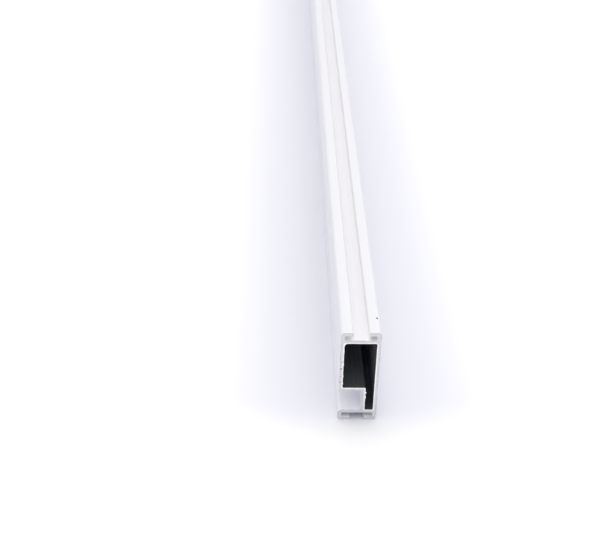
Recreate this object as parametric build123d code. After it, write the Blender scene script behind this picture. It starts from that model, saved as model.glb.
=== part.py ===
from build123d import *
import os

# A slim hollow frame profile, extruded in aluminium and sawn square at both ends.
# X runs across the section, Y along the bar and Z up. The origin is under the middle
# of the bar, on the floor that it stands on. All lengths are in millimetres.

# Overall size of the bar
section_width = 10.0
section_height = 28.0
bar_length = 500.0

# Walls, and the narrow leg of the hollow chamber
side_wall = 0.9
inner_web = 0.8
leg_width = 2.2

# Undercut slots along the top and the bottom edge, the lower one with the narrower mouth
top_mouth = 4.0
bottom_mouth = 3.5
slot_room = 8.0
slot_lip = 1.0
slot_undercut = 1.3
slot_floor = 1.0

# Open rebate along the left side
rebate_height = 6.5

# Radii that the die leaves on the corners
outer_radius = 0.8
lip_radius = 0.4
undercut_radius = 0.3
chamber_radius = 0.3
rebate_radius = 0.4
mouth_radius = 0.35

# A radius takes at most this much of the short side that it rounds at both ends
round_share = 0.45

# How far a cut runs out past the face that it opens
cut_overrun = 1.0

# How near to a line a corner lies that counts as on it
corner_match = 0.001

# Places that follow from the sizes above
half_width = section_width / 2
half_room = slot_room / 2
edge_band = slot_lip + slot_undercut + slot_floor
rebate_ceiling = edge_band + rebate_height
chamber_floor = rebate_ceiling + inner_web
chamber_top = section_height - edge_band
chamber_right = half_width - side_wall
leg_left = chamber_right - leg_width
rebate_back = leg_left - inner_web


def outline(points):
    """A flat face with straight sides through the points."""
    return make_face(Polyline(*points, close=True))


def rectangle(low, high):
    """A flat rectangle between two opposite corners."""
    return outline([low, (high[0], low[1]), high, (low[0], high[1])])


def rounded(corners, radius, short_side):
    """The face that the corners belong to, with them rounded as far as its short side allows."""
    return fillet(corners, min(radius, short_side * round_share))


def chamber():
    """The closed hollow: a tall room with a narrow leg that goes down behind the rebate."""
    room = outline([
        (-chamber_right, chamber_floor),
        (-chamber_right, chamber_top),
        (chamber_right, chamber_top),
        (chamber_right, edge_band),
        (leg_left, edge_band),
        (leg_left, chamber_floor),
    ])
    return rounded(room.vertices(), chamber_radius, leg_width)


def rebate():
    """The open rebate in the left side, with its two back corners rounded."""
    recess = rectangle((-half_width - cut_overrun, edge_band), (rebate_back, rebate_ceiling))
    back_corners = recess.vertices().sort_by(Axis.X)[-2:]
    return rounded(back_corners, rebate_radius, rebate_height)


def slot(mouth_width):
    """An undercut slot that opens downwards: a narrow mouth below a wide, low room."""
    room_top = slot_lip + slot_undercut
    room = rectangle((-half_room, slot_lip), (half_room, room_top))
    mouth = rectangle((-mouth_width / 2, -cut_overrun), (mouth_width / 2, room_top))
    return rounded(room.vertices(), undercut_radius, slot_undercut) + mouth


def top_slot():
    """The slot along the top edge, turned over to open upwards."""
    return Pos(0, section_height) * mirror(slot(top_mouth), about=Plane.XZ)


def corners_on_line(face, across):
    """The corners of a face on one upright line across the section, from the lowest to the highest."""
    on_line = [corner for corner in face.vertices() if abs(corner.X - across) < corner_match]
    return sorted(on_line, key=lambda corner: corner.Y)


def section():
    """The whole section: a rounded block less its hollows, with the lips and the rebate's mouth rounded."""
    block = rectangle((-half_width, 0), (half_width, section_height))
    edged = rounded(block.vertices(), outer_radius, edge_band)
    slotted = edged - slot(bottom_mouth) - top_slot()
    mouth_lines = {side * width / 2 for side in (-1, 1) for width in (bottom_mouth, top_mouth)}
    lip_corners = [corner for line in mouth_lines for corner in corners_on_line(slotted, line)]
    lipped = rounded(lip_corners, lip_radius, slot_lip)
    hollowed = lipped - chamber() - rebate()
    # On the left side the rebate's two corners lie between the ends of the outer rounds
    mouth_corners = corners_on_line(hollowed, -half_width)[1:-1]
    return rounded(mouth_corners, mouth_radius, inner_web)


def extrusion_profile():
    """The section drawn out along Y, half of the length to each side of the origin."""
    return extrude(Plane.XZ * section(), bar_length / 2, both=True)


os.makedirs("parts", exist_ok=True)
export_step(extrusion_profile(), "parts/extrusion_profile.step")
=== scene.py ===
"""A length of slim hollow aluminium frame profile with a white coat, standing on a pale floor.

The bar is drawn out of its section, as a die does it: an outline with an undercut slot along each
narrow edge and an open rebate along one side, round a hollow chamber. Then the saw leaves its marks on
both ends, and each kind of surface gets its own finish. X runs across the section, Y along the bar and
Z up. All lengths are in metres.
"""
import logging
import math
from dataclasses import dataclass
from enum import Enum, IntEnum
from typing import NamedTuple

import bmesh
import bpy
from bmesh.types import BMEdge, BMesh, BMFace, BMVert
from mathutils import Euler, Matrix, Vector, noise


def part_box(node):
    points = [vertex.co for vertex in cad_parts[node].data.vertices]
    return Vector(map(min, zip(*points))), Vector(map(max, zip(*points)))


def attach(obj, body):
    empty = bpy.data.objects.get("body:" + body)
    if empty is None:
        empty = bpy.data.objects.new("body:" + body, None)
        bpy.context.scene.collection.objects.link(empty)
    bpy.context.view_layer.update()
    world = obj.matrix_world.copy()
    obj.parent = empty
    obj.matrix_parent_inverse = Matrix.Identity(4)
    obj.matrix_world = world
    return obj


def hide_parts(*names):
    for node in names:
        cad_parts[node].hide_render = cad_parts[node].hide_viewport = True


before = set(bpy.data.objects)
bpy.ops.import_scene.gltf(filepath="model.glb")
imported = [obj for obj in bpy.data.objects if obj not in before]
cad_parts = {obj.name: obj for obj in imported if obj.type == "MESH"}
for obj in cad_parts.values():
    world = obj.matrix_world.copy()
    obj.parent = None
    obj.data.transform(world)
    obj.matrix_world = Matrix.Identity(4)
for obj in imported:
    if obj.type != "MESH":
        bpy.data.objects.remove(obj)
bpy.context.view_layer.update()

LOG = logging.getLogger("profile_scene")
MM = 0.001
BAR_NODE = "extrusion_profile"
BAR_BODY = "root"

# A face counts as facing a way if its normal goes more than this share of its length that way
FACING_SHARE = 0.5

Colour = tuple[float, float, float]
Socket = bpy.types.NodeSocket
Inputs = bpy.types.NodeInputs
Outputs = bpy.types.NodeOutputs


class Finish(IntEnum):
    """The kinds of surface on the bar, in the order of its material slots."""

    COAT = 0
    SAWN = 1
    RIM = 2
    BURR = 3
    MILL = 4
    DIRT = 5
    SLOT = 6


class End(Enum):
    """The two sawn ends, by the way that they face along Y."""

    NEAR = -1
    FAR = 1


class Corner(NamedTuple):
    """One corner of an outline in the section, with the radius that the die leaves on it."""

    x: float
    z: float
    radius: float


@dataclass(frozen=True)
class Section:
    """The section of the bar: the die's own sizes, inside the width and height that the frame gives."""

    width: float
    height: float
    side_wall: float = 0.9 * MM
    inner_web: float = 0.8 * MM
    leg_width: float = 2.2 * MM
    top_mouth: float = 4.0 * MM
    bottom_mouth: float = 3.5 * MM
    slot_room: float = 8.0 * MM
    slot_lip: float = 1.0 * MM
    slot_undercut: float = 1.3 * MM
    slot_floor: float = 1.0 * MM
    rebate_height: float = 6.5 * MM
    outer_radius: float = 0.8 * MM
    mouth_radius: float = 0.35 * MM
    shelf_radius: float = 1.2 * MM
    lip_radius: float = 0.4 * MM
    undercut_radius: float = 0.3 * MM
    chamber_radius: float = 0.3 * MM
    rebate_radius: float = 0.4 * MM
    wall_slack: float = 0.2 * MM
    slot_start: float = 0.1 * MM

    @property
    def half_width(self) -> float:
        """From the middle line to either side."""
        return self.width / 2

    @property
    def slot_depth(self) -> float:
        """From the edge of the section to the slot's floor."""
        return self.slot_lip + self.slot_undercut

    @property
    def edge_band(self) -> float:
        """Height of the slot and its floor, along the bottom edge and along the top edge."""
        return self.slot_depth + self.slot_floor

    @property
    def rebate_ceiling(self) -> float:
        """Height of the rebate's upper face."""
        return self.edge_band + self.rebate_height

    @property
    def chamber_floor(self) -> float:
        """Height of the floor of the chamber's tall room."""
        return self.rebate_ceiling + self.inner_web

    @property
    def chamber_top(self) -> float:
        """Height of the chamber's ceiling."""
        return self.height - self.edge_band

    @property
    def chamber_right(self) -> float:
        """From the middle line to the chamber's wall."""
        return self.half_width - self.side_wall

    @property
    def leg_left(self) -> float:
        """Where the chamber's narrow leg starts, to the right of the middle line."""
        return self.chamber_right - self.leg_width

    @property
    def rebate_back(self) -> float:
        """Where the rebate ends, to the right of the middle line."""
        return self.leg_left - self.inner_web

    def slot(self, mouth: float) -> list[Corner]:
        """Draw a slot that opens downwards.

        Args:
            mouth: How wide the slot's mouth is.

        Returns:
            Its corners from the left lip, round the undercut, to the right lip.
        """
        left = [
            Corner(-mouth / 2, 0.0, self.lip_radius),
            Corner(-mouth / 2, self.slot_lip, self.lip_radius),
            Corner(-self.slot_room / 2, self.slot_lip, self.undercut_radius),
            Corner(-self.slot_room / 2, self.slot_depth, self.undercut_radius),
        ]
        right = [Corner(-corner.x, corner.z, corner.radius) for corner in reversed(left)]
        return left + right

    def rebate(self) -> list[Corner]:
        """Draw the open rebate.

        Returns:
            Its corners from the upper one on the left side, round the back, to the lower one.
        """
        return [
            Corner(-self.half_width, self.rebate_ceiling, self.mouth_radius),
            Corner(self.rebate_back, self.rebate_ceiling, self.rebate_radius),
            Corner(self.rebate_back, self.edge_band, self.rebate_radius),
            Corner(-self.half_width, self.edge_band, self.shelf_radius),
        ]

    def outside(self) -> list[Corner]:
        """Draw the outer outline.

        Returns:
            Its corners from the bottom left one, by the bottom slot, the top slot and the rebate.
        """
        turned_over = reversed(self.slot(self.top_mouth))
        top_slot = [Corner(corner.x, self.height - corner.z, corner.radius) for corner in turned_over]
        return [
            Corner(-self.half_width, 0.0, self.outer_radius),
            *self.slot(self.bottom_mouth),
            Corner(self.half_width, 0.0, self.outer_radius),
            Corner(self.half_width, self.height, self.outer_radius),
            *top_slot,
            Corner(-self.half_width, self.height, self.outer_radius),
            *self.rebate(),
        ]

    def chamber(self) -> list[Corner]:
        """Draw the hollow chamber.

        Returns:
            The corners of its tall room and of the narrow leg that goes down behind the rebate.
        """
        places = [
            (-self.chamber_right, self.chamber_floor),
            (-self.chamber_right, self.chamber_top),
            (self.chamber_right, self.chamber_top),
            (self.chamber_right, self.edge_band),
            (self.leg_left, self.edge_band),
            (self.leg_left, self.chamber_floor),
        ]
        return [Corner(x, z, self.chamber_radius) for x, z in places]

    def in_chamber(self, place: Vector, slack: float) -> bool:
        """Tell the chamber's surface from the outside of the bar.

        Args:
            place: A point on the surface of the bar.
            slack: How far into the metal still counts as the chamber.

        Returns:
            True if the point is on the wall of the chamber.
        """
        if place.x > self.chamber_right + slack or place.z > self.chamber_top + slack:
            return False
        in_room = place.x > -self.chamber_right - slack and place.z > self.chamber_floor - slack
        in_leg = place.x > self.leg_left - slack and place.z > self.edge_band - slack
        return in_room or in_leg

    def in_top_slot(self, place: Vector) -> bool:
        """Tell the surface of the top slot from the rest of the outside.

        Args:
            place: A point on the outside of the bar.

        Returns:
            True if the point is in the slot, from the rounded edges of its lips down.
        """
        within_room = abs(place.x) < self.slot_room / 2 + self.wall_slack
        below_lips = self.slot_start < self.height - place.z < self.slot_depth + self.wall_slack
        return within_room and below_lips


class Nick(NamedTuple):
    """A small knock in a sawn end, with dirt in it: its middle, its reach both ways, and its depth."""

    x: float
    z: float
    across: float
    up: float
    depth: float
    dirt: float


class Patch(NamedTuple):
    """A dark patch on the bar, dirt at the nicks and painted shade in the top slot, with how much of
    the surface it hides.
    """

    place: Vector
    across: float
    up: float
    dirt: float


class Tear(NamedTuple):
    """A torn bit of the burr that hangs over the chamber."""

    x: float
    z: float
    reach: float
    length: float


@dataclass(frozen=True)
class SawnEnd:
    """What the saw leaves at one end: a frayed rim, a ragged burr round the chamber and nicks."""

    end: End
    seed: int
    nicks: tuple[Nick, ...]
    tears: tuple[Tear, ...]
    rim_width: float = 0.12 * MM
    rim_depth: float = 0.03 * MM
    rim_step: float = 0.3 * MM
    rim_cuts: int = 2
    fray: float = 0.07 * MM
    fray_spread: float = 0.45 * MM
    burr_width: float = 0.13 * MM
    burr_wave: float = 0.05 * MM
    burr_spread: float = 0.7 * MM
    seed_step: float = 1.0 / 3.0

    def cap(self, mesh: BMesh) -> list[BMFace]:
        """Find the flat of this end.

        Args:
            mesh: The bar.

        Returns:
            The sawn faces that face out of this end.
        """
        facing = Vector((0.0, self.end.value, 0.0))
        sawn = [face for face in mesh.faces if face.material_index == Finish.SAWN]
        return [face for face in sawn if face.normal.dot(facing) > FACING_SHARE]

    def cut(self, mesh: BMesh, section: Section) -> None:
        """Break the rim of the cut, fray the coat on it, raise the burr and knock the nicks in.

        Args:
            mesh: The bar, with its flat end.
            section: The bar's section.
        """
        self.divide_rim(mesh)
        ring = self.inset(mesh, self.rim_width, self.rim_depth)
        for face in ring:
            face.material_index = Finish.BURR if self.at_chamber(face, section) else Finish.RIM
        for face in self.inset(mesh, self.burr_width, 0.0):
            if self.at_chamber(face, section):
                face.material_index = Finish.BURR
        mesh.normal_update()
        edge = {vertex for face in ring for vertex in face.verts}
        self.raise_burr([vertex for vertex in edge if self.walls(vertex, Finish.MILL)])
        coat_edge = [vertex for vertex in edge if self.walls(vertex, Finish.COAT)]
        self.fray_coat(coat_edge)
        self.knock_nicks(coat_edge)

    def inset(self, mesh: BMesh, width: float, depth: float) -> list[BMFace]:
        """Lay a ring of faces round the flat of this end.

        Args:
            mesh: The bar.
            width: How wide the ring is.
            depth: How far the flat stands out from the ring's outer side.

        Returns:
            The faces of the ring, outside the flat and round the chamber.
        """
        return bmesh.ops.inset_region(
            mesh,
            faces=self.cap(mesh),
            thickness=width,
            depth=depth,
            use_even_offset=True,
            use_boundary=True,
        )["faces"]

    def at_chamber(self, face: BMFace, section: Section) -> bool:
        """True for a face of a ring that lies round the chamber."""
        slack = self.rim_width + self.burr_width
        return any(section.in_chamber(vertex.co, slack) for vertex in face.verts)

    def divide_rim(self, mesh: BMesh) -> None:
        """Divide the rim of the cut finely enough for the burr and the nicks.

        Args:
            mesh: The bar, with its flat end.
        """
        flat = set(self.cap(mesh))
        rim = [edge for edge in mesh.edges if len(flat.intersection(edge.link_faces)) == 1]
        long_sides = [edge for edge in rim if edge.calc_length() > self.rim_step]
        bmesh.ops.subdivide_edges(mesh, edges=long_sides, cuts=self.rim_cuts, use_single_edge=True)

    def walls(self, vertex: BMVert, finish: Finish) -> list[Vector]:
        """The normals of the walls with one finish that meet at a vertex of the rim."""
        return [face.normal.copy() for face in vertex.link_faces if face.material_index == finish]

    def raise_burr(self, rim: list[BMVert]) -> None:
        """Let the chamber's rim hang over the hollow a little, and further at each torn bit.

        Args:
            rim: The vertices where the chamber's wall meets the cut.
        """
        offset = Vector((self.seed, 1.0, 0.0)) * self.seed_step
        moves = []
        for vertex in rim:
            into_hollow = sum(self.walls(vertex, Finish.MILL), Vector()).normalized()
            wave = noise.noise(vertex.co / self.burr_spread + offset)
            hang = self.burr_wave * max(wave, 0.0)
            for tear in self.tears:
                distance = math.hypot(vertex.co.x - tear.x, vertex.co.z - tear.z)
                hang += tear.length * max(1.0 - distance / tear.reach, 0.0)
            moves.append((vertex, into_hollow * hang))
        for vertex, move in moves:
            vertex.co += move

    def fray_coat(self, rim: list[BMVert]) -> None:
        """Let the coat break back from the cut by an uneven amount.

        Args:
            rim: The vertices where the coated outside meets the cut.
        """
        for vertex in rim:
            tear = noise.noise(vertex.co / self.fray_spread + Vector((0.0, self.seed, 0.0)))
            vertex.co.y -= self.end.value * self.fray * max(tear, 0.0)

    def knock_nicks(self, rim: list[BMVert]) -> None:
        """Press the rim in at each nick.

        Args:
            rim: The vertices where the coated outside meets the cut.
        """
        for nick in self.nicks:
            struck = []
            for vertex in rim:
                aside = (vertex.co.x - nick.x) / nick.across
                above = (vertex.co.z - nick.z) / nick.up
                distance = math.hypot(aside, above)
                if distance < 1.0:
                    inward = -sum(self.walls(vertex, Finish.COAT), Vector()).normalized()
                    back = Vector((0.0, -self.end.value, 0.0))
                    struck.append((vertex, (inward + back) * nick.depth * (1.0 - distance**2)))
            for vertex, move in struck:
                vertex.co += move

    def patches(self, length: float) -> list[Patch]:
        """Find the dirt on this end.

        Args:
            length: The bar's length.

        Returns:
            A patch for each nick.
        """
        flat = self.end.value * length / 2
        return [Patch(Vector((n.x, flat, n.z)), n.across, n.up, n.dirt) for n in self.nicks]


class Chip(NamedTuple):
    """A dark chip in the coat on top of a lip, turned by an angle from the bar's length."""

    x: float
    from_end: float
    width: float
    length: float
    depth: float
    turn: float


@dataclass(frozen=True)
class Bar:
    """The bar: one length of the section, sawn at both ends."""

    section: Section
    length: float
    ends: tuple[SawnEnd, ...]
    chip: Chip
    # patches of painted shade in the top slot's undercut beside the cuts
    painted_shade_patches: tuple[Patch, ...]
    round_steps: int = 6
    strip: float = 0.5 * MM
    ring_gap: float = 20.0 * MM
    burr_root: float = 0.4 * MM
    sharp_angle: float = math.radians(24.0)
    flat_weight: int = 80

    def draw_outline(self, mesh: BMesh, corners: list[Corner], y: float) -> None:
        """Draw a closed outline with rounded corners, its long sides cut into strips.

        Args:
            mesh: Where the outline goes.
            corners: The outline's corners in order.
            y: Where along the bar it is drawn.
        """
        drawn_before = set(mesh.edges)
        vertices = [mesh.verts.new((corner.x, y, corner.z)) for corner in corners]
        following = vertices[1:] + vertices[:1]
        for pair in zip(vertices, following):
            mesh.edges.new(pair)
        for vertex, corner in zip(vertices, corners):
            bmesh.ops.bevel(
                mesh,
                geom=[vertex],
                affect="VERTICES",
                offset=corner.radius,
                offset_type="OFFSET",
                segments=self.round_steps,
                profile=0.5,
                material=-1,
            )
        for side in set(mesh.edges) - drawn_before:
            cuts = int(side.calc_length() / self.strip)
            if cuts > 0:
                bmesh.ops.subdivide_edges(mesh, edges=[side], cuts=cuts)

    def draw_out(self, mesh: BMesh) -> None:
        """Fill the section and draw it out to the bar's length, between the two rims.

        Args:
            mesh: An empty mesh.
        """
        near, far = self.ends
        start = near.rim_depth - self.length / 2
        stop = self.length / 2 - far.rim_depth
        self.draw_outline(mesh, self.section.outside(), start)
        self.draw_outline(mesh, self.section.chamber(), start)
        bmesh.ops.triangle_fill(mesh, edges=mesh.edges[:], use_beauty=True)
        for face in mesh.faces:
            face.material_index = Finish.SAWN
        drawn = bmesh.ops.extrude_face_region(mesh, geom=mesh.faces[:])["geom"]
        moved = [item for item in drawn if isinstance(item, BMVert)]
        bmesh.ops.translate(mesh, verts=moved, vec=(0.0, stop - start, 0.0))
        bmesh.ops.recalc_face_normals(mesh, faces=mesh.faces[:])
        for face in mesh.faces:
            if abs(face.normal.y) < FACING_SHARE:
                middle = face.calc_center_median()
                inside = self.section.in_chamber(middle, self.section.wall_slack)
                face.material_index = Finish.MILL if inside else Finish.COAT

    def lay_rings(self, mesh: BMesh) -> None:
        """Divide the walls along the bar, and once more at the root of each burr.

        Args:
            mesh: The bar between its two flat ends.
        """
        lengthwise = [edge for edge in mesh.edges if self.runs_lengthwise(edge)]
        cuts = int(self.length / self.ring_gap) - 1
        bmesh.ops.subdivide_edges(mesh, edges=lengthwise, cuts=cuts, use_grid_fill=True)
        for sawn in self.ends:
            root = sawn.end.value * (self.length / 2 - self.burr_root)
            bmesh.ops.bisect_plane(
                mesh,
                geom=mesh.verts[:] + mesh.edges[:] + mesh.faces[:],
                plane_co=(0.0, root, 0.0),
                plane_no=(0.0, 1.0, 0.0),
            )

    def runs_lengthwise(self, edge: BMEdge) -> bool:
        """True for an edge along the bar."""
        return abs(edge.verts[0].co.y - edge.verts[1].co.y) > self.length / 2

    def chip_coat(self, mesh: BMesh) -> None:
        """Break the chip out of the coat on the lip.

        Args:
            mesh: The bar.
        """
        chip = self.chip
        for axis, size in zip(self.chip_axes(), (chip.width, chip.length)):
            for side in (-1, 1):
                faces = [face for face in mesh.faces if self.near_chip(face)]
                edges = {edge for face in faces for edge in face.edges}
                vertices = {vertex for face in faces for vertex in face.verts}
                bmesh.ops.bisect_plane(
                    mesh,
                    geom=[*faces, *edges, *vertices],
                    plane_co=self.chip_middle() + axis * side * size / 2,
                    plane_no=axis,
                )
        broken = [face for face in mesh.faces if self.in_chip(face)]
        bmesh.ops.inset_region(
            mesh,
            faces=broken,
            thickness=chip.depth,
            depth=-chip.depth,
            use_even_offset=True,
        )
        for face in mesh.faces:
            if self.in_chip(face):
                face.material_index = Finish.DIRT

    def chip_middle(self) -> Vector:
        """The middle of the chip, on the top of the lip."""
        return Vector((self.chip.x, self.chip.from_end - self.length / 2, self.section.height))

    def chip_axes(self) -> tuple[Vector, Vector]:
        """The directions across the chip and along it."""
        turned = Euler((0.0, 0.0, self.chip.turn)).to_matrix()
        return turned @ Vector((1.0, 0.0, 0.0)), turned @ Vector((0.0, 1.0, 0.0))

    def near_chip(self, face: BMFace) -> bool:
        """Tell the faces that the cuts round the chip go through.

        Args:
            face: A face of the bar.

        Returns:
            True if the face is part of the lip's top and reaches into the square round the chip.
        """
        lip_middle = self.section.height - self.section.slot_lip / 2
        if face.normal.z < FACING_SHARE or face.calc_center_median().z < lip_middle:
            return False
        reach = max(self.chip.width, self.chip.length)
        offsets = [vertex.co - self.chip_middle() for vertex in face.verts]
        spans = ([offset.x for offset in offsets], [offset.y for offset in offsets])
        return all(min(span) < reach and max(span) > -reach for span in spans)

    def in_chip(self, face: BMFace) -> bool:
        """Tell the chip from the coat round it.

        Args:
            face: A face of the bar.

        Returns:
            True if the face's middle is inside the chip's outline.
        """
        offset = face.calc_center_median() - self.chip_middle()
        if offset.z < -self.section.slot_lip / 2:
            return False
        across, along = self.chip_axes()
        inside_width = abs(offset.dot(across)) < self.chip.width / 2
        inside_length = abs(offset.dot(along)) < self.chip.length / 2
        return inside_width and inside_length

    def mark_slot(self, mesh: BMesh) -> None:
        """Give the coat in the top slot its own finish.

        Args:
            mesh: The bar.
        """
        for face in mesh.faces:
            coated = face.material_index == Finish.COAT
            if coated and self.section.in_top_slot(face.calc_center_median()):
                face.material_index = Finish.SLOT

    def patches(self) -> tuple[Patch, ...]:
        """The patches of dirt on both ends."""
        return tuple(patch for sawn in self.ends for patch in sawn.patches(self.length))

    def build(self) -> bpy.types.Object:
        """Make the bar's mesh and its object.

        Returns:
            The bar, in place, without its finishes.
        """
        mesh = bmesh.new()
        self.draw_out(mesh)
        self.lay_rings(mesh)
        for sawn in self.ends:
            sawn.cut(mesh, self.section)
        self.chip_coat(mesh)
        self.mark_slot(mesh)
        for face in mesh.faces:
            face.smooth = True
        for edge in mesh.edges:
            edge.smooth = edge.calc_face_angle(math.pi) < self.sharp_angle
        data = bpy.data.meshes.new("profile_bar")
        mesh.to_mesh(data)
        mesh.free()
        bar = bpy.data.objects.new("profile_bar", data)
        bpy.context.scene.collection.objects.link(bar)
        flats = bar.modifiers.new("flat_walls", "WEIGHTED_NORMAL")
        flats.weight = self.flat_weight
        flats.keep_sharp = True
        return bar

    def dress(self, bar: bpy.types.Object) -> None:
        """Give the bar its finishes, in the order of its material slots.

        Args:
            bar: The bar's object.
        """
        patches = self.patches()
        finishes = {
            Finish.COAT: WhiteCoat(),
            Finish.SAWN: SawnMetal(patches=patches),
            Finish.RIM: FrayedCoatAndEdgeShade(patches=patches),
            Finish.BURR: BrightBurr(),
            Finish.MILL: MillFinish(half_length=self.length / 2),
            Finish.DIRT: ChipDirt(),
            Finish.SLOT: SlotCoat(painted_shade_patches=self.painted_shade_patches),
        }
        for finish in Finish:
            bar.data.materials.append(finishes[finish].material())


class Sheet:
    """Short calls to fill one node tree."""

    def __init__(self, tree: bpy.types.NodeTree) -> None:
        """Keep the tree that the nodes go to."""
        self.tree = tree

    def node(
        self, kind: str, inputs: dict[str, object] | None = None, **settings: object
    ) -> bpy.types.Node:
        """Add a node.

        Args:
            kind: The node's type.
            inputs: Plain values or other nodes' outputs, by the name of the input.
            settings: The node's own settings.

        Returns:
            The new node.
        """
        node = self.tree.nodes.new(kind)
        for name, value in settings.items():
            setattr(node, name, value)
        for name, value in (inputs or {}).items():
            self.feed(node.inputs[name], value)
        return node

    def feed(self, socket: Socket, value: object) -> None:
        """Join an input to another node's output, or set it to a plain value.

        Args:
            socket: The input.
            value: The output or the plain value.
        """
        if isinstance(value, Socket):
            self.tree.links.new(value, socket)
        else:
            socket.default_value = value

    def calculate(self, kind: str, operation: str, *values: object) -> Outputs:
        """Add a node that calculates.

        Args:
            kind: The node's type.
            operation: What it does.
            values: Plain values or other nodes' outputs, in the order of the inputs.

        Returns:
            The node's outputs.
        """
        node = self.node(kind, operation=operation)
        for socket, value in zip(node.inputs, values):
            self.feed(socket, value)
        return node.outputs

    def number(self, operation: str, *values: object) -> Socket:
        """Calculate a number from numbers."""
        return self.calculate("ShaderNodeMath", operation, *values)["Value"]

    def vector(self, operation: str, *values: object) -> Socket:
        """Calculate a vector from vectors."""
        return self.calculate("ShaderNodeVectorMath", operation, *values)["Vector"]

    def measure(self, operation: str, *values: object) -> Socket:
        """Calculate a number from vectors."""
        return self.calculate("ShaderNodeVectorMath", operation, *values)["Value"]

    def combine(self, x: object, y: object, z: object) -> Socket:
        """Join three numbers into a vector."""
        return self.node("ShaderNodeCombineXYZ", {"X": x, "Y": y, "Z": z}).outputs["Vector"]

    def separate(self, place: Socket) -> Outputs:
        """Take a vector apart into its X, Y and Z."""
        return self.node("ShaderNodeSeparateXYZ", {"Vector": place}).outputs

    def spread(self, value: Socket, low: float, high: float, **settings: object) -> Socket:
        """Turn a value into a mask that is 0 at the low limit and 1 at the high one."""
        limits = {"Value": value, "From Min": low, "From Max": high}
        return self.node("ShaderNodeMapRange", limits, **settings).outputs["Result"]

    def span(self, mask: Socket, low: float, high: float) -> Socket:
        """Turn a mask into a value between two limits."""
        limits = {"Value": mask, "To Min": low, "To Max": high}
        return self.node("ShaderNodeMapRange", limits).outputs["Result"]

    def ramp(self, mask: Socket, low: Colour, high: Colour) -> Socket:
        """Turn a mask into a colour.

        Args:
            mask: A value from 0 to 1.
            low: The colour at 0.
            high: The colour at 1.

        Returns:
            The colour's socket.
        """
        node = self.node("ShaderNodeValToRGB", {"Fac": mask})
        first, last = node.color_ramp.elements
        first.color = (*low, 1.0)
        last.color = (*high, 1.0)
        return node.outputs["Color"]

    def mix(self, mask: Socket, under: Socket, over: Colour) -> Socket:
        """Lay one colour over another.

        Args:
            mask: How much the upper colour hides, from 0 to 1.
            under: The lower colour.
            over: The upper colour.

        Returns:
            The mixed colour's socket.
        """
        layers = {"Factor": mask, "A": under, "B": (*over, 1.0)}
        return self.node("ShaderNodeMix", layers, data_type="RGBA").outputs["Result"]

    def fade(self, axis: Socket, start: float, reach: float) -> Socket:
        """Measure how far out a place lies along one axis, to both sides.

        Args:
            axis: The place's coordinate.
            start: The distance from the middle that still counts as 0.
            reach: How far past the start it comes to 1.

        Returns:
            A value from 0 to 1.
        """
        return self.spread(self.number("ABSOLUTE", axis), start, start + reach)

    def bump(self, height: Socket, distance: float) -> Socket:
        """Turn a height into a normal."""
        return self.node("ShaderNodeBump", {"Height": height, "Distance": distance}).outputs["Normal"]


class Effect:
    """A surface effect that finishes can share, as a shader node group."""

    name = ""
    numbers: tuple[str, ...] = ()
    output = ""
    detail = 0.0
    roughness = 0.0
    lowest = 0.3
    highest = 0.7

    def group(self) -> bpy.types.ShaderNodeTree:
        """Build the group once.

        Returns:
            The group, new or made before.
        """
        made = bpy.data.node_groups.get(self.name)
        if made is not None:
            return made
        tree = bpy.data.node_groups.new(self.name, "ShaderNodeTree")
        tree.interface.new_socket("Place", in_out="INPUT", socket_type="NodeSocketVector")
        for number in self.numbers:
            tree.interface.new_socket(number, in_out="INPUT", socket_type="NodeSocketFloat")
        tree.interface.new_socket(self.output, in_out="OUTPUT", socket_type="NodeSocketFloat")
        sheet = Sheet(tree)
        entry = sheet.node("NodeGroupInput")
        result = self.fill(sheet, entry.outputs)
        sheet.node("NodeGroupOutput", {self.output: result})
        return tree

    def fill(self, sheet: Sheet, given: Outputs) -> Socket:
        """Lay out the effect's nodes and return the socket that it puts out."""
        raise NotImplementedError

    def pattern(self, sheet: Sheet, inputs: dict[str, object], **settings: object) -> Socket:
        """Spread a noise over the whole range of a mask.

        Args:
            sheet: The effect's node tree.
            inputs: The place and the scale of the noise.
            settings: The noise node's own settings.

        Returns:
            A value from 0 to 1.
        """
        inputs = {**inputs, "Detail": self.detail, "Roughness": self.roughness}
        noise_node = sheet.node("ShaderNodeTexNoise", inputs, **settings)
        return sheet.spread(noise_node.outputs["Fac"], self.lowest, self.highest)

    def place(self, sheet: Sheet, place: Socket, *values: float) -> Socket:
        """Put the effect in a material.

        Args:
            sheet: The material's node tree.
            place: The coordinates that the effect follows.
            values: The effect's numbers, in order.

        Returns:
            The effect's output.
        """
        inputs = {"Place": place, **dict(zip(self.numbers, values))}
        return sheet.node("ShaderNodeGroup", inputs, node_tree=self.group()).outputs[self.output]


class DrawLines(Effect):
    """Fine lines along the bar, as the die draws them."""

    name = "draw_lines"
    numbers = ("Width", "Length")
    output = "Lines"
    detail = 2.0
    roughness = 0.55

    def fill(self, sheet: Sheet, given: Outputs) -> Socket:
        """Stretch a noise along the bar.

        Args:
            sheet: The group's node tree.
            given: The group's inputs.

        Returns:
            The socket that the group puts out.
        """
        cell = sheet.combine(given["Width"], given["Length"], given["Width"])
        stretched = sheet.vector("DIVIDE", given["Place"], cell)
        return self.pattern(sheet, {"Vector": stretched, "Scale": 1.0})


class FineGrain(Effect):
    """A soft, even grain, such as the skin of a coat."""

    name = "fine_grain"
    numbers = ("Size",)
    output = "Grain"
    detail = 1.5
    roughness = 0.5

    def fill(self, sheet: Sheet, given: Outputs) -> Socket:
        """Scale a noise to the grain's size."""
        scale = sheet.number("DIVIDE", 1.0, given["Size"])
        return self.pattern(sheet, {"Vector": given["Place"], "Scale": scale})


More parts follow.
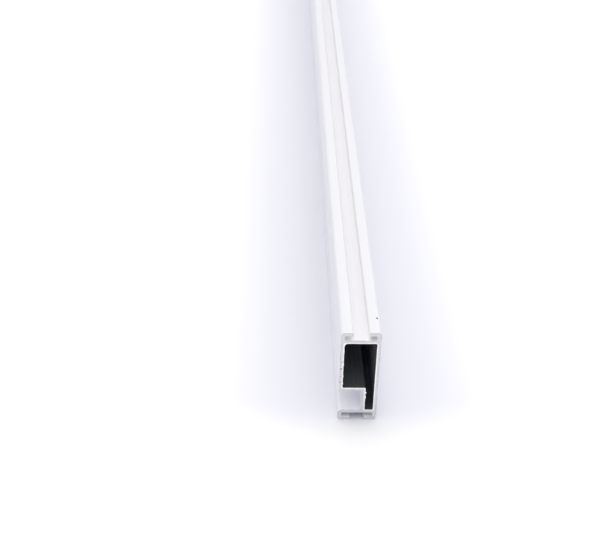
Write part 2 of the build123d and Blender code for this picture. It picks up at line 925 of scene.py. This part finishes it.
class SawMarks(Effect):
    """Shallow arcs that a saw blade leaves on a cut."""

    name = "saw_marks"
    numbers = ("Spacing", "Blade Right", "Blade Above")
    output = "Marks"
    detail = 3.0
    roughness = 0.6

    def fill(self, sheet: Sheet, given: Outputs) -> Socket:
        """Let a one-dimensional noise run out from the middle of the blade.

        Args:
            sheet: The group's node tree.
            given: The group's inputs.

        Returns:
            The socket that the group puts out.
        """
        hub = sheet.combine(given["Blade Right"], 0.0, given["Blade Above"])
        on_cut = sheet.vector("MULTIPLY", given["Place"], (1.0, 0.0, 1.0))
        reach = sheet.measure("DISTANCE", on_cut, hub)
        count = sheet.number("DIVIDE", reach, given["Spacing"])
        return self.pattern(sheet, {"W": count, "Scale": 1.0}, noise_dimensions="1D")


class DirtAndShadePatch(Effect):
    """A dark patch with a soft edge, for dirt and for painted shade."""

    name = "dirt_and_shade_patch"
    numbers = ("Right", "Along", "Up", "Reach Across", "Reach Up", "Strength")
    # the patch's share of darkening: dirt at the nicks, painted shade in the top slot
    output = "Dirt"
    full_share = 0.3

    def fill(self, sheet: Sheet, given: Outputs) -> Socket:
        """Let the darkening fade out from the middle of the patch to its edge.

        Args:
            sheet: The group's node tree.
            given: The group's inputs.

        Returns:
            The socket that the group puts out.
        """
        middle = sheet.combine(given["Right"], given["Along"], given["Up"])
        reach = sheet.combine(given["Reach Across"], given["Reach Across"], given["Reach Up"])
        offset = sheet.vector("SUBTRACT", given["Place"], middle)
        share = sheet.measure("LENGTH", sheet.vector("DIVIDE", offset, reach))
        dirt = sheet.spread(share, 1.0, self.full_share, interpolation_type="SMOOTHSTEP")
        return sheet.number("MULTIPLY", dirt, given["Strength"])

    def darken_with_patches(
        self,
        sheet: Sheet,
        place: Socket,
        patches: tuple[Patch, ...],
        clean: Socket,
        dirt: Colour,
    ) -> Socket:
        """Lay dark patches over a colour, dirt on the cuts and painted shade in the top slot.

        Args:
            sheet: The material's node tree.
            place: The coordinates that the patches follow.
            patches: Where the dark patches are.
            clean: The colour without the patches.
            dirt: The colour of the patches.

        Returns:
            The darkened colour.
        """
        colour = clean
        for patch in patches:
            mask = self.place(sheet, place, *patch.place, patch.across, patch.up, patch.dirt)
            colour = sheet.mix(mask, colour, dirt)
        return colour


class Surface:
    """A finish: a material with one shader, filled by the finish itself."""

    name = ""

    def material(self) -> bpy.types.Material:
        """Make the material.

        Returns:
            The material with its nodes joined up.
        """
        material = bpy.data.materials.new(self.name)
        material.use_nodes = True
        sheet = Sheet(material.node_tree)
        place = sheet.node("ShaderNodeTexCoord").outputs["Object"]
        shader = material.node_tree.nodes["Principled BSDF"]
        self.fill(sheet, place, shader.inputs)
        return material

    def fill(self, sheet: Sheet, place: Socket, shader: Inputs) -> None:
        """Set the shader's plain values and join its patterns."""
        raise NotImplementedError


@dataclass(frozen=True)
class WhiteCoat(Surface):
    """The satin white coat outside, thin enough for the die's lines to show through a little."""

    name = "white_coat"
    light: Colour = (0.88, 0.876, 0.905)
    shade: Colour = (0.845, 0.842, 0.872)
    skin_size: float = 0.8 * MM
    skin_height: float = 0.003 * MM
    line_width: float = 0.35 * MM
    line_length: float = 160.0 * MM
    smooth: float = 0.36
    rough: float = 0.46

    def fill(self, sheet: Sheet, place: Socket, shader: Inputs) -> None:
        """Set the colour, and let the skin's grain set the gloss and the relief.

        Args:
            sheet: The material's node tree.
            place: The coordinates that the patterns follow.
            shader: The shader's inputs.
        """
        skin = FineGrain().place(sheet, place, self.skin_size)
        sheet.feed(shader["Base Color"], self.colour(sheet, place))
        sheet.feed(shader["Roughness"], sheet.span(skin, self.smooth, self.rough))
        sheet.feed(shader["Normal"], sheet.bump(skin, self.skin_height))

    def colour(self, sheet: Sheet, place: Socket) -> Socket:
        """Let the die's lines tint the coat."""
        lines = DrawLines().place(sheet, place, self.line_width, self.line_length)
        return sheet.ramp(lines, self.shade, self.light)


@dataclass(frozen=True)
class SlotCoat(WhiteCoat):
    """The coat in the top slot, with painted light that whitens it towards and under the lips, and
    patches of painted shade in the undercut beside the cuts.
    """

    name = "slot_coat"
    light: Colour = (0.866, 0.86, 0.9)
    shade: Colour = (0.832, 0.827, 0.866)
    # painted light: the whiter coat towards and under the lips, where the lips shade the slot
    painted_under_lip_light: Colour = (0.975, 0.97, 0.985)
    painted_light_start: float = 0.6 * MM
    painted_light_reach: float = 1.2 * MM
    # painted shade: dark patches in the slot's undercut beside the cuts, in the colour below
    painted_shade_patches: tuple[Patch, ...] = ()
    dirt: Colour = (0.3, 0.3, 0.34)

    def colour(self, sheet: Sheet, place: Socket) -> Socket:
        """Paint light into the coat, growing from the middle of the slot to both sides, and lay the
        patches of painted shade over it.

        Args:
            sheet: The material's node tree.
            place: The coordinates that the patterns follow.

        Returns:
            The colour's socket.
        """
        across = sheet.separate(place)["X"]
        # painted light mask: 0 in the middle of the slot, rising to 1 under the lips
        painted_light_mask = sheet.fade(across, self.painted_light_start, self.painted_light_reach)
        clean = sheet.mix(painted_light_mask, super().colour(sheet, place), self.painted_under_lip_light)
        # lay the patches of painted shade over the slot's coat
        return DirtAndShadePatch().darken_with_patches(sheet, place, self.painted_shade_patches, clean, self.dirt)


@dataclass(frozen=True)
class SawnMetal(Surface):
    """Bare aluminium on the cut, with the blade's marks and some dirt."""

    name = "sawn_metal"
    patches: tuple[Patch, ...] = ()
    dirt: Colour = (0.2, 0.195, 0.2)
    light: Colour = (0.752, 0.742, 0.777)
    shade: Colour = (0.615, 0.607, 0.64)
    mark_spacing: float = 0.22 * MM
    mark_height: float = 0.006 * MM
    blade_right: float = 70.0 * MM
    blade_above: float = 95.0 * MM
    smooth: float = 0.34
    rough: float = 0.52

    def fill(self, sheet: Sheet, place: Socket, shader: Inputs) -> None:
        """Let the saw marks set the colour under the dirt, the gloss and the relief.

        Args:
            sheet: The material's node tree.
            place: The coordinates that the patterns follow.
            shader: The shader's inputs.
        """
        marks = SawMarks().place(sheet, place, self.mark_spacing, self.blade_right, self.blade_above)
        clean = sheet.ramp(marks, self.shade, self.light)
        sheet.feed(shader["Metallic"], 1.0)
        sheet.feed(shader["Base Color"], DirtAndShadePatch().darken_with_patches(sheet, place, self.patches, clean, self.dirt))
        sheet.feed(shader["Roughness"], sheet.span(marks, self.rough, self.smooth))
        sheet.feed(shader["Normal"], sheet.bump(marks, self.mark_height))


@dataclass(frozen=True)
class FrayedCoatAndEdgeShade(Surface):
    """The broken edge of the coat round the cut, grey and blotched, with some dirt; its dark grey is
    partly painted shade along the edge of the cut.
    """

    name = "frayed_coat_and_edge_shade"
    patches: tuple[Patch, ...] = ()
    dirt: Colour = (0.1, 0.098, 0.1)
    light: Colour = (0.8, 0.79, 0.81)
    # the dark grey is partly the torn coat and partly painted shade along the cut's edge
    shade: Colour = (0.42, 0.41, 0.43)
    blotch_size: float = 0.9 * MM
    smooth: float = 0.5
    rough: float = 0.75

    def fill(self, sheet: Sheet, place: Socket, shader: Inputs) -> None:
        """Let the blotches set the colour under the dirt, and the gloss.

        Args:
            sheet: The material's node tree.
            place: The coordinates that the patterns follow.
            shader: The shader's inputs.
        """
        blotches = FineGrain().place(sheet, place, self.blotch_size)
        clean = sheet.ramp(blotches, self.shade, self.light)
        sheet.feed(shader["Base Color"], DirtAndShadePatch().darken_with_patches(sheet, place, self.patches, clean, self.dirt))
        sheet.feed(shader["Roughness"], sheet.span(blotches, self.rough, self.smooth))


@dataclass(frozen=True)
class BrightBurr(Surface):
    """Metal that the blade dragged over the rim of the chamber, rubbed bright."""

    name = "bright_burr"
    light: Colour = (0.98, 0.975, 0.97)
    shade: Colour = (0.88, 0.88, 0.89)
    grain_size: float = 0.4 * MM
    smooth: float = 0.22
    rough: float = 0.36

    def fill(self, sheet: Sheet, place: Socket, shader: Inputs) -> None:
        """Let the grain of the torn metal set the colour and the gloss.

        Args:
            sheet: The material's node tree.
            place: The coordinates that the patterns follow.
            shader: The shader's inputs.
        """
        grain = FineGrain().place(sheet, place, self.grain_size)
        sheet.feed(shader["Metallic"], 1.0)
        sheet.feed(shader["Base Color"], sheet.ramp(grain, self.shade, self.light))
        sheet.feed(shader["Roughness"], sheet.span(grain, self.rough, self.smooth))


@dataclass(frozen=True)
class MillFinish(Surface):
    """Bare metal in the chamber as the die left it, dull and streaked, with painted shade that darkens
    it near the ends.
    """

    half_length: float
    name = "mill_finish"
    light: Colour = (0.47, 0.513, 0.542)
    shade: Colour = (0.355, 0.389, 0.407)
    # painted shade: darkens the chamber's metal near the ends, where light comes in at the cuts
    painted_end_shade: Colour = (0.085, 0.095, 0.1)
    painted_shade_reach: float = 15.0 * MM
    painted_shade_strength: float = 0.85
    line_width: float = 0.3 * MM
    line_length: float = 60.0 * MM
    line_height: float = 0.01 * MM
    bare: float = 0.8
    smooth: float = 0.6
    rough: float = 0.85

    def fill(self, sheet: Sheet, place: Socket, shader: Inputs) -> None:
        """Let the die's lines set the colour under the painted shade near the ends, the gloss and the
        relief.

        Args:
            sheet: The material's node tree.
            place: The coordinates that the patterns follow.
            shader: The shader's inputs.
        """
        lines = DrawLines().place(sheet, place, self.line_width, self.line_length)
        along = sheet.separate(place)["Y"]
        near_end = sheet.fade(along, self.half_length - self.painted_shade_reach, self.painted_shade_reach)
        # painted shade mask: 0 deeper in, up to the set strength at the cuts
        painted_shade_mask = sheet.span(near_end, 0.0, self.painted_shade_strength)
        clean = sheet.ramp(lines, self.shade, self.light)
        sheet.feed(shader["Metallic"], self.bare)
        sheet.feed(shader["Base Color"], sheet.mix(painted_shade_mask, clean, self.painted_end_shade))
        sheet.feed(shader["Roughness"], sheet.span(lines, self.rough, self.smooth))
        sheet.feed(shader["Normal"], sheet.bump(lines, self.line_height))


@dataclass(frozen=True)
class ChipDirt(Surface):
    """Dark dirt in the chip."""

    name = "chip_dirt"
    light: Colour = (0.11, 0.11, 0.12)
    shade: Colour = (0.03, 0.03, 0.035)
    grain_size: float = 0.12 * MM
    smooth: float = 0.55
    rough: float = 0.85

    def fill(self, sheet: Sheet, place: Socket, shader: Inputs) -> None:
        """Let a fine grain set the colour and the gloss.

        Args:
            sheet: The material's node tree.
            place: The coordinates that the patterns follow.
            shader: The shader's inputs.
        """
        grain = FineGrain().place(sheet, place, self.grain_size)
        sheet.feed(shader["Base Color"], sheet.ramp(grain, self.shade, self.light))
        sheet.feed(shader["Roughness"], sheet.span(grain, self.smooth, self.rough))


@dataclass(frozen=True)
class FloorPaper(Surface):
    """The white paper that the bar stands on, with painted shade beside the bar, and a little greyer
    far behind it.
    """

    half_width: float
    half_length: float
    name = "floor_paper"
    light: Colour = (0.985, 0.985, 0.985)
    # painted shade: the grey of the floor beside the bar, standing in for its soft shadow
    shade: Colour = (0.843, 0.843, 0.906)
    distant: Colour = (0.89, 0.9, 0.93)
    side_reach: float = 45.0 * MM
    end_reach: float = 20.0 * MM
    end_start: float = 10.0 * MM
    full_share: float = 0.3
    white_radius: float = 1.5
    distant_reach: float = 4.0
    grain_size: float = 30.0 * MM
    smooth: float = 0.75
    rough: float = 0.9

    def fill(self, sheet: Sheet, place: Socket, shader: Inputs) -> None:
        """Let the painted shade fade out away from the bar, and cloud the gloss a little.

        Args:
            sheet: The material's node tree.
            place: The coordinates that the patterns follow.
            shader: The shader's inputs.
        """
        axes = sheet.separate(place)
        aside = sheet.fade(axes["X"], self.half_width, self.side_reach)
        beyond = sheet.fade(axes["Y"], self.half_length - self.end_start, self.end_reach)
        away = sheet.measure("LENGTH", sheet.combine(aside, beyond, 0.0))
        # painted shade falloff: 0 beside the bar, 1 away from it
        painted_shade_falloff = sheet.spread(away, self.full_share, 1.0, interpolation_type="SMOOTHSTEP")
        far_off = sheet.fade(sheet.measure("LENGTH", place), self.white_radius, self.distant_reach)
        cloud = FineGrain().place(sheet, place, self.grain_size)
        paper = sheet.ramp(painted_shade_falloff, self.shade, self.light)
        sheet.feed(shader["Base Color"], sheet.mix(far_off, paper, self.distant))
        sheet.feed(shader["Roughness"], sheet.span(cloud, self.smooth, self.rough))


@dataclass(frozen=True)
class Studio:
    """The pale floor, the soft light and the camera."""

    bar_size: Vector
    floor_size: float = 60.0
    floor_drop: float = 0.02 * MM
    sky_colour: Colour = (0.784, 0.82, 0.968)
    sky_strength: float = 0.684
    softbox_colour: Colour = (1.0, 0.95, 0.77)
    softbox_watts: float = 45.0
    softbox_size: float = 4.0
    softbox_height: float = 2.0
    lamp_colour: Colour = (1.0, 0.95, 0.77)
    lamp_strength: float = 0.21
    lamp_spread: float = math.radians(12.0)
    lamp_lean: float = math.radians(6.0)
    picture_width: int = 600
    focal_pixels: float = 1033.66
    sensor_width_mm: float = 36.0
    clip_start: float = 1.0 * MM
    camera_place: tuple[float, float, float] = (-21.03 * MM, -454.26 * MM, 179.84 * MM)
    camera_pitch: float = math.radians(33.683)
    camera_heading: float = math.radians(1.548)
    camera_roll: float = math.radians(1.243)

    def lay_floor(self) -> None:
        """Lay the floor just under the bar."""
        mesh = bmesh.new()
        bmesh.ops.create_grid(mesh, x_segments=1, y_segments=1, size=self.floor_size / 2)
        bmesh.ops.translate(mesh, verts=mesh.verts[:], vec=(0.0, 0.0, -self.floor_drop))
        data = bpy.data.meshes.new("floor")
        mesh.to_mesh(data)
        mesh.free()
        paper = FloorPaper(half_width=self.bar_size.x / 2, half_length=self.bar_size.y / 2)
        data.materials.append(paper.material())
        floor = bpy.data.objects.new("floor", data)
        bpy.context.scene.collection.objects.link(floor)

    def light(self) -> None:
        """Light the bar from all round, from a wide softbox overhead and a weak lamp on the left."""
        scene = bpy.context.scene
        world = bpy.data.worlds.new("studio")
        world.use_nodes = True
        sky = world.node_tree.nodes["Background"].inputs
        sky["Color"].default_value = (*self.sky_colour, 1.0)
        sky["Strength"].default_value = self.sky_strength
        scene.world = world
        scene.view_settings.view_transform = "Standard"
        softbox = bpy.data.lights.new("softbox", "AREA")
        softbox.color = self.softbox_colour
        softbox.energy = self.softbox_watts
        softbox.size = self.softbox_size
        self.hang(softbox, Vector((0.0, 0.0, self.softbox_height)), Euler())
        lamp = bpy.data.lights.new("lamp", "SUN")
        lamp.color = self.lamp_colour
        lamp.energy = self.lamp_strength
        lamp.angle = self.lamp_spread
        self.hang(lamp, Vector(), Euler((0.0, -self.lamp_lean, 0.0)))

    def hang(self, light: bpy.types.Light, place: Vector, turn: Euler) -> None:
        """Put a light in its place in the scene.

        Args:
            light: The light.
            place: Where it hangs.
            turn: How it is turned from straight down.
        """
        stand = bpy.data.objects.new(light.name, light)
        stand.location = place
        stand.rotation_euler = turn
        bpy.context.scene.collection.objects.link(stand)

    def set_camera(self) -> None:
        """Stand the camera where the photograph was taken from."""
        lens = bpy.data.cameras.new("camera")
        lens.sensor_fit = "HORIZONTAL"
        lens.sensor_width = self.sensor_width_mm
        lens.lens = self.focal_pixels * self.sensor_width_mm / self.picture_width
        lens.clip_start = self.clip_start
        camera = bpy.data.objects.new("camera", lens)
        camera.location = self.camera_place
        roll = Euler((0.0, 0.0, self.camera_roll)).to_matrix()
        pitch = Euler((math.pi / 2 - self.camera_pitch, 0.0, 0.0)).to_matrix()
        heading = Euler((0.0, 0.0, -self.camera_heading)).to_matrix()
        camera.rotation_euler = (heading @ pitch @ roll).to_euler()
        bpy.context.scene.collection.objects.link(camera)
        bpy.context.scene.camera = camera


def near_end(section: Section) -> SawnEnd:
    """Place the marks of the saw at the near end.

    Args:
        section: The bar's section.

    Returns:
        The near end.
    """
    left = -section.half_width
    right = section.half_width
    room_left = -section.chamber_right
    leg_left = section.leg_left
    return SawnEnd(
        end=End.NEAR,
        seed=7,
        nicks=(
            Nick(left + 0.5 * MM, 18.85 * MM, across=0.7 * MM, up=0.4 * MM, depth=0.04 * MM, dirt=0.35),
            Nick(left + 0.3 * MM, 16.75 * MM, across=0.4 * MM, up=0.35 * MM, depth=0.1 * MM, dirt=1.0),
            Nick(left + 0.4 * MM, 14.3 * MM, across=0.4 * MM, up=0.4 * MM, depth=0.05 * MM, dirt=0.3),
            Nick(left + 0.3 * MM, 12.5 * MM, across=0.45 * MM, up=0.4 * MM, depth=0.06 * MM, dirt=0.4),
            Nick(right - 0.1 * MM, 20.1 * MM, across=0.3 * MM, up=0.3 * MM, depth=0.06 * MM, dirt=0.6),
            Nick(right - 0.1 * MM, 11.6 * MM, across=0.3 * MM, up=0.3 * MM, depth=0.06 * MM, dirt=0.6),
        ),
        tears=(
            Tear(room_left, 24.6 * MM, reach=0.8 * MM, length=0.3 * MM),
            Tear(room_left, 22.2 * MM, reach=0.8 * MM, length=0.07 * MM),
            Tear(room_left, 18.2 * MM, reach=0.5 * MM, length=0.11 * MM),
            Tear(room_left, 14.4 * MM, reach=0.45 * MM, length=0.12 * MM),
            Tear(room_left, 12.0 * MM, reach=0.6 * MM, length=0.08 * MM),
            Tear(leg_left, 9.0 * MM, reach=0.35 * MM, length=0.34 * MM),
            Tear(leg_left, 7.5 * MM, reach=0.7 * MM, length=0.2 * MM),
        ),
    )


def far_end(section: Section) -> SawnEnd:
    """Place the marks of the saw at the far end.

    Args:
        section: The bar's section.

    Returns:
        The far end.
    """
    left = -section.half_width
    right = section.half_width
    room_left = -section.chamber_right
    return SawnEnd(
        end=End.FAR,
        seed=23,
        nicks=(
            Nick(right - 0.2 * MM, 7.2 * MM, across=0.4 * MM, up=0.4 * MM, depth=0.08 * MM, dirt=0.7),
            Nick(left + 0.3 * MM, 22.3 * MM, across=0.5 * MM, up=0.35 * MM, depth=0.05 * MM, dirt=0.4),
        ),
        tears=(
            Tear(room_left, 21.6 * MM, reach=0.6 * MM, length=0.12 * MM),
            Tear(room_left, 13.2 * MM, reach=0.4 * MM, length=0.22 * MM),
            Tear(section.leg_left, 6.0 * MM, reach=0.5 * MM, length=0.26 * MM),
            Tear(section.chamber_right, 17.4 * MM, reach=0.8 * MM, length=0.1 * MM),
        ),
    )


def slot_painted_shade(section: Section, length: float) -> tuple[Patch, ...]:
    """Place the patches of painted shade in the top slot's undercut, beside both cuts.

    Args:
        section: The bar's section.
        length: The bar's length.

    Returns:
        Two patches of painted shade at the near end and two at the far end.
    """
    from_cut = 0.8 * MM
    far = length / 2 - from_cut
    floor = section.height - section.slot_depth
    # painted shade: one patch under each lip, beside each cut
    return (
        Patch(Vector((-3.3 * MM, -far, floor)), across=1.4 * MM, up=1.0 * MM, dirt=0.27),
        Patch(Vector((3.1 * MM, -far, floor)), across=1.4 * MM, up=1.2 * MM, dirt=0.42),
        Patch(Vector((-3.0 * MM, far, floor)), across=1.3 * MM, up=1.0 * MM, dirt=0.25),
        Patch(Vector((3.3 * MM, far, floor)), across=1.2 * MM, up=1.0 * MM, dirt=0.35),
    )


def make_bar(size: Vector) -> Bar:
    """Size the bar.

    Args:
        size: The bar's size in the frame.

    Returns:
        The bar with its two sawn ends.
    """
    section = Section(width=size.x, height=size.z)
    chip = Chip(
        x=4.25 * MM,
        from_end=6.35 * MM,
        width=0.36 * MM,
        length=0.75 * MM,
        depth=0.05 * MM,
        turn=math.radians(24.0),
    )
    return Bar(
        section=section,
        length=size.y,
        ends=(near_end(section), far_end(section)),
        chip=chip,
        painted_shade_patches=slot_painted_shade(section, size.y),
    )


def main() -> None:
    """Build the bar and the studio round it."""
    logging.basicConfig(level=logging.INFO, format="%(name)s: %(message)s")
    low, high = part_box(BAR_NODE)
    size = high - low
    profile = make_bar(size)
    bar = profile.build()
    profile.dress(bar)
    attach(bar, BAR_BODY)
    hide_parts(BAR_NODE)
    LOG.info("%s: %d faces", bar.name, len(bar.data.polygons))
    studio = Studio(bar_size=size)
    studio.lay_floor()
    studio.light()
    studio.set_camera()


if __name__ == "__main__":
    main()
